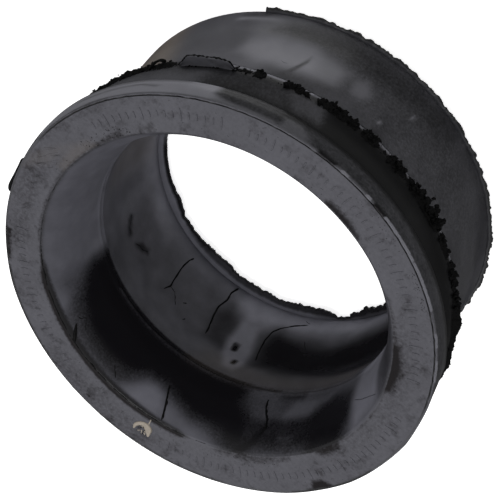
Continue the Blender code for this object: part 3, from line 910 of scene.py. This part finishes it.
# A loose rag beside the tab: each point's angle, radius and depth in mm, and the rag's thickness there
FLASH_RAG = (
    (325.2, 65.9, 20.6), (324.0, 67.1, 21.4), (322.6, 67.4, 22.4), (321.4, 67.5, 22.0), (320.6, 66.9, 22.6),
    (321.6, 66.2, 21.4), (323.4, 66.0, 21.2),
)
RAG_WIDTHS = (0.5, 1.1, 0.6, 1.2, 0.8, 1.1, 0.5)


def on_ring(angle, radius, depth):
    """A place in the ring, its angle in degrees, its radius and its depth below the flange's face in mm."""
    turn = math.radians(angle)
    return Vector((radius * math.cos(turn) / 1000, radius * math.sin(turn) / 1000, HEIGHT - depth / 1000))


def threads(name, lines, material):
    """Thin round threads of rubber as one piece; each line is its points, and its thickness at each in mm."""
    curve = bpy.data.curves.new(name, "CURVE")
    curve.dimensions = "3D"
    curve.bevel_depth = 0.0005
    curve.bevel_resolution = 1
    curve.resolution_u = 5
    curve.use_fill_caps = True
    for points, widths in lines:
        spline = curve.splines.new("NURBS")
        spline.points.add(len(points) - 1)
        spline.order_u = 3
        spline.use_endpoint_u = True
        for point, place, width in zip(spline.points, points, widths):
            point.co = (*place, 1)
            point.radius = width
    piece = bpy.data.objects.new(name, curve)
    bpy.context.scene.collection.objects.link(piece)
    curve.materials.append(material)
    part_of_gasket(piece)
    return piece


bpy.ops.object.select_all(action="DESELECT")
bpy.ops.mesh.primitive_grid_add(x_subdivisions=60, y_subdivisions=10, size=1, location=(0, 0, 0))
tab = bpy.context.object
tab.name = "flash_tab"
for vertex in tab.data.vertices:
    angle = TAB_REACH[0][0] + (vertex.co.x + 0.5) * (TAB_REACH[-1][0] - TAB_REACH[0][0])
    share = vertex.co.y + 0.5
    reach = looked_up(angle, TAB_REACH)
    ripple = TAB_RIPPLE * wave(angle * 0.5, share * 2, 3)
    vertex.co = on_ring(angle, TAB_ROOT + share * reach, TAB_DEPTH - TAB_LIFT * share**2 + ripple)
bpy.ops.object.modifier_add(type="SOLIDIFY")
tab.modifiers[-1].thickness = TAB_THICKNESS
tab.modifiers[-1].offset = 0
bpy.ops.object.modifier_apply(modifier=tab.modifiers[-1].name)
tab.data.shade_smooth()
paint(tab, "bloom_and_painted_light", [TAB_BLOOM] * len(tab.data.vertices))
tab.data.materials.append(outer_rubber)
part_of_gasket(tab)

rolled = []
for angle in np.linspace(TAB_REACH[0][0], TAB_REACH[-1][0], TAB_EDGE_POINTS):
    wobble = TAB_EDGE_RIPPLE * wave(angle * 1.7, 7)
    radius = TAB_ROOT + looked_up(angle, TAB_REACH) + wobble
    rolled.append(on_ring(angle, radius, TAB_EDGE_DEPTH + 0.8 * wobble))
widths = [max(0.22, 0.5 + 0.8 * wave(number * 0.6, 2, 8)) for number in range(TAB_EDGE_POINTS)]
rag = [on_ring(*place) for place in FLASH_RAG]
threads("flash_tab_edge", [(rolled, widths), (rag, RAG_WIDTHS)], torn_rubber)


# Crumbs. Shreds and rolled-up bits of the torn ridge flash that still hang on it, thickest on the right.
CRUMB_COUNT = 800
CRUMB_SIZES = (0.0006, 0.0016)
CRUMB_FORMS = 5
CRUMB_RADIUS, CRUMB_DEPTH, CRUMB_SPREAD = 65.5, 22.0, 0.75  # where they hang, and how far up and down, in mm
CRUMB_STRETCHES = (  # from one angle to another, and how thick they hang there
    (182, 212, 0.5), (213, 218, 6), (220, 226.5, 8), (228.5, 234, 7), (236, 250, 11), (252.5, 258, 8),
    (262, 266.5, 7), (268, 279, 8), (282, 288.4, 5), (293.6, 296, 6), (298, 316, 1), (316, 350, 2.6),
    (350, 542, 1.5),
)
THIN_STRETCH, THIN_SCALE = 2.6, 0.6  # crumbs are smaller in stretches no thicker than this


def crumb_shape(seed):
    """One lumpy crumb, a metre across until it is scaled."""
    bpy.ops.object.select_all(action="DESELECT")
    bpy.ops.mesh.primitive_uv_sphere_add(segments=8, ring_count=6, radius=0.5, location=(0, 0, 0))
    crumb = bpy.context.object
    for vertex in crumb.data.vertices:
        vertex.co *= 1 + 1.1 * noise.noise(vertex.co * 2.6 + Vector((seed, 0, 0)))
    return crumb


chance = random.Random(21)
shapes = [crumb_shape(seed) for seed in range(CRUMB_FORMS)]
weights = [(high - low) * thick for low, high, thick in CRUMB_STRETCHES]
crumbs = []
for number in range(CRUMB_COUNT):
    low, high, thick = chance.choices(CRUMB_STRETCHES, weights)[0]
    angle = chance.uniform(low, high)
    clump = left_over(angle, RIDGE_RAG, RIDGE_SEED)
    reach = looked_up(angle % 360, RIDGE_FLASH_REACH) * (0.2 + 0.9 * clump)
    radius = CRUMB_RADIUS + reach * chance.uniform(0.0, 1.0)
    depth = CRUMB_DEPTH + chance.gauss(0, CRUMB_SPREAD)
    size = chance.uniform(*CRUMB_SIZES) * (1.0 if thick > THIN_STRETCH else THIN_SCALE)
    mesh = chance.choice(shapes).data.copy()
    turn = Matrix.Rotation(chance.uniform(0, 6.28), 4, Vector((chance.random(), chance.random(), 0.3)))
    stretch = Matrix.Diagonal((size, size * chance.uniform(0.6, 1.4), size * chance.uniform(0.5, 1.0), 1))
    mesh.transform(Matrix.Translation(on_ring(angle, radius, depth)) @ turn @ stretch)
    crumb = bpy.data.objects.new("crumb", mesh)
    bpy.context.scene.collection.objects.link(crumb)
    crumbs.append(crumb)
for shape in shapes:
    bpy.data.objects.remove(shape)


def joined(name, pieces, material):
    """Many small shapes made into one piece."""
    bpy.ops.object.select_all(action="DESELECT")
    for piece in pieces:
        piece.select_set(True)
    bpy.context.view_layer.objects.active = pieces[0]
    bpy.ops.object.join()
    whole = bpy.context.object
    whole.name = name
    whole.data.name = name
    whole.data.materials.append(material)
    part_of_gasket(whole)
    return whole


ridge_crumbs = joined("ridge_crumbs", crumbs, torn_rubber)
ridge_crumbs.data.shade_smooth()


# Knit lines. Where two streams of rubber met in the mould and didn't quite join, the bore has fine black
# cracks. Each is its points, by angle and depth in mm, and its width in mm.
KNIT_LINES = (
    (((73.0, 41.5), (74.2, 44.5), (73.4, 49), (72.8, 54), (73.2, 57), (74.0, 59.2)), 0.5),
    (((74.3, 44.3), (77, 44), (78.5, 42), (80, 40)), 0.22),
    (((94.8, 38.8), (94.4, 42), (93.2, 47), (92.6, 51.5), (93.8, 55.5), (93.4, 59), (94.5, 62.5)), 0.56),
    (((115.5, 38), (114.5, 43), (114, 48), (114.8, 52.5), (117, 55), (121, 57.5), (126, 59.3)), 0.46),
    (((124, 61), (126.5, 59.8)), 0.22),
    (((130, 48.5), (129, 50), (128, 52)), 0.24),
    (((95.8, 11.0), (97.2, 8), (98.6, 5), (99.6, 2.6), (100.2, 0.9)), 0.6),
    (((55.8, 4.5), (57, 5.0), (58, 6.5), (60, 5.0), (62, 4.3)), 0.2),
    (((76.5, 5.0), (78, 3.8), (80, 2.2)), 0.2),
    (((130.6, 19.4), (131.2, 16.6), (132.6, 13.6), (134.1, 11.4), (134.8, 8.5), (133.4, 5.4)), 0.62),
    (((174, 10), (180, 7), (185, 5), (190, 2.5)), 0.18),
    (((43.0, 44.8), (44.6, 44.2), (46.4, 42.2), (49.4, 41.0)), 0.14),
    (((53.2, 41.8), (55.0, 43.0), (57.0, 43.4), (59.4, 45.2)), 0.18),
    (((85.2, 37.2), (85.8, 38.6)), 0.35),
    (((81.6, 43.2), (82.8, 44.3)), 0.4),
)
KNIT_SUNK = 0.03
bore_by_depth = sorted((depth * 1000, radius * 1000) for radius, depth in bore)


def on_bore(angle, depth, sunk=0.0):
    """A place on the bore's wall, by its angle and its depth below the flange's face in mm."""
    sagged = float(mouth_sag_at(angle % 360, depth))
    return on_ring(angle, looked_up(depth, bore_by_depth) + sagged + sunk, depth)


lines = []
for number, (route, width) in enumerate(KNIT_LINES):
    points = []
    widths = []
    for (a0, d0), (a1, d1) in zip(route, route[1:]):
        for share in np.linspace(0, 1, 5)[:-1]:
            angle = a0 + (a1 - a0) * share
            depth = d0 + (d1 - d0) * share
            wander = wave(depth * 1.3, angle * 1.3, number)
            points.append(on_bore(angle + 0.22 * wander, depth + 0.15 * wander, KNIT_SUNK))
            widths.append(1.35 * width * (0.8 + 0.7 * wander))
    points.append(on_bore(*route[-1], KNIT_SUNK))
    widths.append(0.3 * width)
    widths[0] = 0.5 * width
    lines.append((points, widths))
threads("knit_lines", lines, torn_rubber)


# Flow marks and a tear line on the barrel: thin folds of rubber on the surface. Each is its points, by
# angle and depth in mm, and its width in mm.
FOLD_SUNK = 0.04
BARREL_FOLDS = (
    (((292.8, 37.0), (291.8, 39.6), (290.6, 42.4), (289.6, 45.0)), 0.09),
    (((293.5, 40.6), (294.6, 39.8), (295.8, 40), (296.6, 41)), 0.16),
    (((294, 42), (295.5, 41.2), (297, 42.4)), 0.14),
    (((299.5, 57.4), (303, 57.8), (309, 57.2), (316, 58.0), (319, 58.9)), 0.16),
    (((304, 60), (309, 59.4), (314, 60.2)), 0.14),
)
barrel_by_depth = sorted((depth * 1000, radius * 1000) for radius, depth in barrel_section())
lines = []
for route, width in BARREL_FOLDS:
    points = [on_ring(angle, looked_up(depth, barrel_by_depth) - FOLD_SUNK, depth) for angle, depth in route]
    lines.append((points, [0.3 * width] + [width] * (len(route) - 2) + [0.3 * width]))
threads("barrel_folds", lines, torn_rubber)

# Mouth burr. The edge between the bore and the face was trimmed with a blade, which left a ragged black
# line. It is thickest low on the left and hair-thin elsewhere; its widths are in mm at an angle. One slip
# of the blade left a short gouge across it.
MOUTH_BURR = (
    (-80, 0.04), (-32, 0.16), (-8, 0.24), (10, 0.26), (24, 0.4), (45, 0.5), (62, 0.5), (85, 0.45), (110, 0.3),
    (132, 0.12), (160, 0.12), (172, 0.05), (200, 0.05),
)
BURR_STEP = 0.4
BURR_DEPTH = 0.35
BURR_SUNK = 0.1
BLADE_SLIP = (((57.4, 3.2), (59.2, 2.0), (61.2, 0.8), (62.4, 0.3)), (0.5, 1.3, 1.2, 0.6))
points = []
widths = []
for angle in np.arange(MOUTH_BURR[0][0], MOUTH_BURR[-1][0], BURR_STEP):
    coarse = wave(angle * 0.23, 4, 4)
    ragged = coarse + 0.7 * wave(angle * 1.1, 8, 4) + 0.5 * wave(angle * 3.3, 6, 4)
    width = looked_up(angle, MOUTH_BURR)
    points.append(on_bore(angle, BURR_DEPTH + 0.4 * width * coarse, BURR_SUNK))
    widths.append(width * min(1.8, max(0.1, 0.7 + 1.1 * ragged)))
slip = [on_bore(angle, depth, BURR_SUNK) for angle, depth in BLADE_SLIP[0]]
threads("mouth_burr", [(points, widths), (slip, BLADE_SLIP[1])], torn_rubber)


# Marks on the flange's face. A ring of short raised bars that the mould's plate leaves, every fifth one
# long.
MARK_PITCH = 2.25
MARK_ARCS = ((22, 67), (105, 190), (203, 290), (296, 335))
MARK_WIDTH = 0.00042
MARK_HEIGHT = 0.00022
LONG_MARK, SHORT_MARK = (60.4, 64.4), (61.2, 63.4)  # their inner and outer ends, as radii in mm
LONG_EVERY = 5
MARK_BEVEL = 0.25
MARK_BLOOM = 0.66
bpy.ops.object.select_all(action="DESELECT")
bpy.ops.mesh.primitive_cube_add(size=1, location=(0, 0, 0))
bar = bpy.context.object
bpy.ops.object.modifier_add(type="BEVEL")
bar.modifiers[-1].width = MARK_BEVEL
bar.modifiers[-1].segments = 1
bpy.ops.object.modifier_apply(modifier=bar.modifiers[-1].name)
bars = []
for low, high in MARK_ARCS:
    for number in range(int((high - low) / MARK_PITCH) + 1):
        angle = low + number * MARK_PITCH
        inner, outer = SHORT_MARK if number % LONG_EVERY else LONG_MARK
        mesh = bar.data.copy()
        place = on_ring(angle, (inner + outer) / 2, 0)
        size = Matrix.Diagonal(((outer - inner) / 1000, MARK_WIDTH, 2 * MARK_HEIGHT, 1))
        mesh.transform(Matrix.Translation(place) @ Matrix.Rotation(math.radians(angle), 4, "Z") @ size)
        copy = bpy.data.objects.new("bar", mesh)
        bpy.context.scene.collection.objects.link(copy)
        bars.append(copy)
bpy.data.objects.remove(bar)
face_marks = joined("face_marks", bars, face_rubber)
face_marks.data.shade_smooth()
paint(face_marks, "bloom_and_painted_light", [MARK_BLOOM] * len(face_marks.data.vertices))


# Scratches and pits. Hairline cuts, brush strokes and small holes on the flange's face, from the mould and
# from handling. Each group is its number, its angles, its radii and its lengths in mm, and its headings in
# radians.
SCRATCHES = (
    (40, (0, 360), (57.0, 60.0), (0.5, 3.0), (-0.5, 0.5)),
    (40, (0, 360), (65.0, 67.0), (0.4, 2.6), (-0.6, 0.6)),
    (16, (350, 358), (60.0, 65.0), (4.0, 10.0), (0.5, 0.75)),
    (3, (11, 16), (58.5, 62.5), (4.0, 8.0), (0.65, 0.8)),
    (30, (68, 104), (58.0, 65.5), (1.0, 4.0), (1.4, 1.75)),
    (10, (100, 130), (56.8, 59.4), (0.8, 2.4), (-1.9, -1.2)),
)
PITS = (
    (50, (324, 342), (56.8, 60.0), (0.3, 1.0), (-1.5, 1.5)),
    (24, (226, 262), (64.9, 67.0), (0.2, 0.7), (-1.5, 1.5)),
    (40, (0, 360), (56.8, 60.0), (0.15, 0.5), (-1.5, 1.5)),
    (30, (0, 360), (65.0, 67.2), (0.15, 0.5), (-1.5, 1.5)),
    (26, (225, 236), (65.6, 67.2), (0.3, 1.0), (-1.5, 1.5)),
    (16, (118, 148), (56.0, 58.6), (0.3, 0.9), (-1.5, 1.5)),
)
SCRATCH_WIDTH, PIT_WIDTH = 0.16, 0.5
MARKED_INNER, MARKED_OUTER = 56.8, 67.2  # the radii in mm that no scratch or pit goes past
chance = random.Random(5)
for name, groups, widest in (("face_scratches", SCRATCHES, SCRATCH_WIDTH), ("face_pits", PITS, PIT_WIDTH)):
    lines = []
    for count, around, across, lengths, headings in groups:
        for number in range(count):
            angle = chance.uniform(*around)
            radius = chance.uniform(*across)
            heading = chance.uniform(*headings)
            length = chance.uniform(*lengths)
            width = widest * chance.uniform(0.45, 1.0)
            points = []
            for share in (-0.5, -0.15, 0.2, 0.5):
                along = share * length
                side = radius + along * math.sin(heading) + 0.2 * length * share**2 * math.sin(number)
                turn = angle + math.degrees(along * math.cos(heading) / radius)
                points.append(on_ring(turn, min(MARKED_OUTER, max(MARKED_INNER, side)), 0.35 * width))
            lines.append((points, (0.3 * width, width, width, 0.3 * width)))
    threads(name, lines, torn_rubber)


# Dried fleck. A crescent of beige mud on the face, thickest on one side, with grit and dark crumbs inside
# it.
FLECK_ROUTE = (
    (93.9, 63.4), (93.7, 62.2), (94.1, 60.8), (95.2, 59.6), (96.6, 59.3), (97.7, 60.1), (98.1, 61.4),
    (98.4, 62.4), (98.5, 63.3),
)  # by angle and by radius in mm
FLECK_WIDTHS = (0.5, 1.2, 1.5, 1.8, 2.7, 3.1, 2.1, 1.3, 0.6)
TRAIL_ROUTE, TRAIL_WIDTHS = ((97.2, 55.8), (97.2, 56.8), (97.2, 58.2)), (0.25, 0.4, 0.5)
FLECK_HEIGHT = 0.2  # how thick the mud is, as a share of its width
GRIT_COUNT = 30
GRIT_ANGLES, GRIT_RADII, GRIT_WIDTHS = (94.6, 97.6), (60.6, 63.2), (0.45, 0.4)
mud, tree, shader = new_material("dried_mud", {"Roughness": 0.9, "Specular IOR Level": 0.2})
where = add_node(tree, "ShaderNodeTexCoord").outputs["Object"]
grains = add_node(tree, "ShaderNodeTexNoise", None,
                  {"Vector": where, "Scale": 1000 / 0.5, "Detail": 4.0, "Roughness": 0.7}).outputs["Fac"]
colour = add_node(tree, "ShaderNodeMixRGB", None,
                  {0: grains, 1: linear("#756d63"), 2: linear("#b9b0a4")}).outputs[0]
set_inputs(shader, {"Base Color": colour})
lines = []
for route, widths in ((FLECK_ROUTE, FLECK_WIDTHS), (TRAIL_ROUTE, TRAIL_WIDTHS)):
    lines.append(([on_ring(angle, radius, 0) for angle, radius in route], widths))
dark_lines = []
for number in range(GRIT_COUNT):
    angle = chance.uniform(*GRIT_ANGLES)
    radius = chance.uniform(*GRIT_RADII)
    speck = ([on_ring(angle, radius, 0), on_ring(angle + 0.3, radius + 0.2, 0)], GRIT_WIDTHS)
    if number % 2:
        dark_lines.append(speck)
    else:
        lines.append(speck)
for name, specks, material in (("dried_fleck", lines, mud), ("fleck_grit", dark_lines, torn_rubber)):
    fleck = threads(name, specks, material)
    bpy.ops.object.select_all(action="DESELECT")
    fleck.select_set(True)
    bpy.context.view_layer.objects.active = fleck
    bpy.ops.object.convert(target="MESH")
    for vertex in bpy.context.object.data.vertices:
        vertex.co.z = HEIGHT + FLECK_HEIGHT * (vertex.co.z - HEIGHT)


# Flange remnant. A sliver of flash left on the flange's side where the mould's halves met: how far it
# reaches, in mm at an angle.
REMNANT = ((2.2, 0.0), (3, 0.9), (5, 0.8), (7, 0.9), (9, 1.1), (11, 1.4), (12.6, 1.7), (14, 1.6), (14.6, 0.0))
REMNANT_ROOT, REMNANT_DEPTH = 68.2, 3.4  # its radius and depth in mm
points = [on_ring(angle, REMNANT_ROOT + 0.8 * reach, REMNANT_DEPTH) for angle, reach in REMNANT]
threads("flange_remnant", [(points, [0.5 + 0.6 * reach for angle, reach in REMNANT])], torn_rubber)
